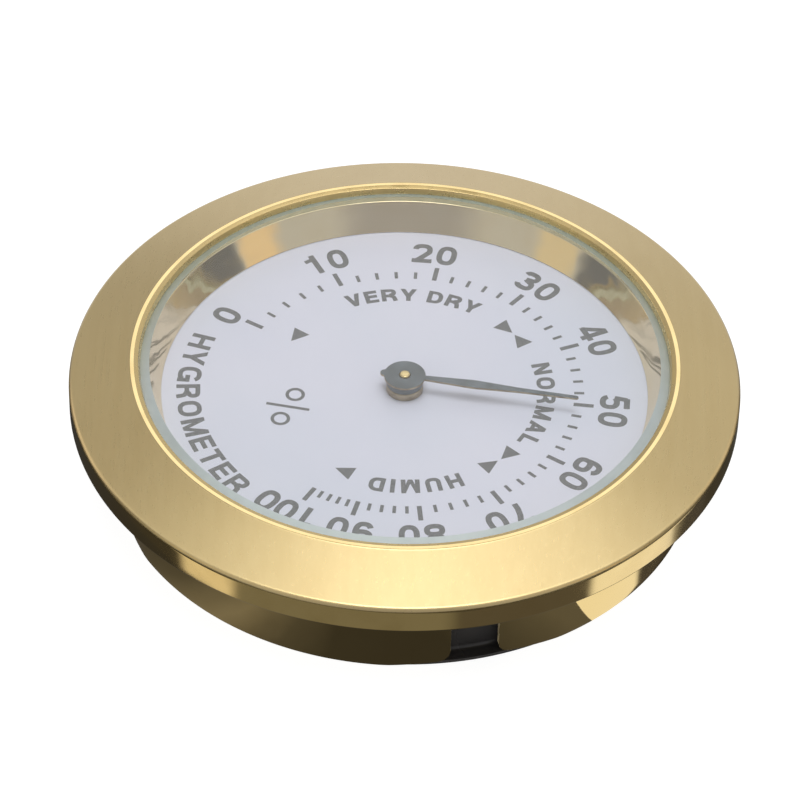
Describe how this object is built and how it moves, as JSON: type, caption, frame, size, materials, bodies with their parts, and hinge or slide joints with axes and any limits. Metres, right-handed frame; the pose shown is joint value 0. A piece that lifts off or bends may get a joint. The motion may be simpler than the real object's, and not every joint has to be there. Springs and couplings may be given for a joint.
{
  "type": "dial hygrometer",
  "caption": "Round insert hygrometer: conical brass bezel, bevelled glass, white dial, pointer on a coil movement, slotted skirt and vented black case.",
  "frame": {"origin": "centre of the flat back of the rear case, which is the lowest face", "axes": "+Z out of the dial through the glass, +Y towards the dial's 12 o'clock, +X towards 3 o'clock"},
  "size_m": [0.07, 0.07, 0.0146],
  "materials": {
    "brushed_brass": "brushed, lacquered, fine straight grain, bright rolled lip",
    "skirt_brass": "polished sheet, mirror-like",
    "polished_brass": "polished, mirror-like",
    "turned_brass": "turned, semi-bright",
    "lens_glass": "clear, ground bevel with a blue-green edge",
    "dial_white": "satin white enamel with grey print",
    "gunmetal": "dark blue-grey, semi-gloss",
    "black_plastic": "glossy moulded black",
    "steel": "plated, slotted heads",
    "coil_strip": "matt coated metal strip"
  },
  "bodies": {
    "housing": {"bezel": "brushed_brass", "lens": "lens_glass", "reflector_ring": "polished_brass", "dial_plate": "dial_white", "mounting_skirt": "skirt_brass", "rear_case": "black_plastic", "dial_post_1": "turned_brass", "dial_post_2": "turned_brass", "dial_post_3": "turned_brass", "case_screw_1": "steel", "case_screw_2": "steel", "case_screw_3": "steel", "dial_bush": "turned_brass", "bush_nut": "turned_brass", "movement_bridge": "turned_brass", "bridge_pillar_1": "turned_brass", "bridge_pillar_2": "turned_brass", "bridge_screw_1": "steel", "bridge_screw_2": "steel", "friction_washer": "steel"},
    "regulator": {"regulator_stud": "turned_brass", "regulator_arm": "turned_brass", "coil_stud": "turned_brass", "sensor_coil": "coil_strip"},
    "pointer": {"coil_collet": "turned_brass", "pointer_arbor": "turned_brass", "pointer_collar": "gunmetal", "pointer": "gunmetal"}
  },
  "joints": [
    {"name": "calibration_turn", "type": "hinge", "parent": "housing", "child": "regulator", "pos_m": [0, 0, 0.0025], "axis": [0, 0, 1], "range_deg": [-25, 25]},
    {"name": "pointer_turn", "type": "hinge", "parent": "regulator", "child": "pointer", "pos_m": [0, 0, 0.0095], "axis": [0, 0, 1], "range_deg": [-111.2, 157.9], "stiffness_Nm_per_rad": 0.00002, "deforming": ["sensor_coil"]}
  ]
}
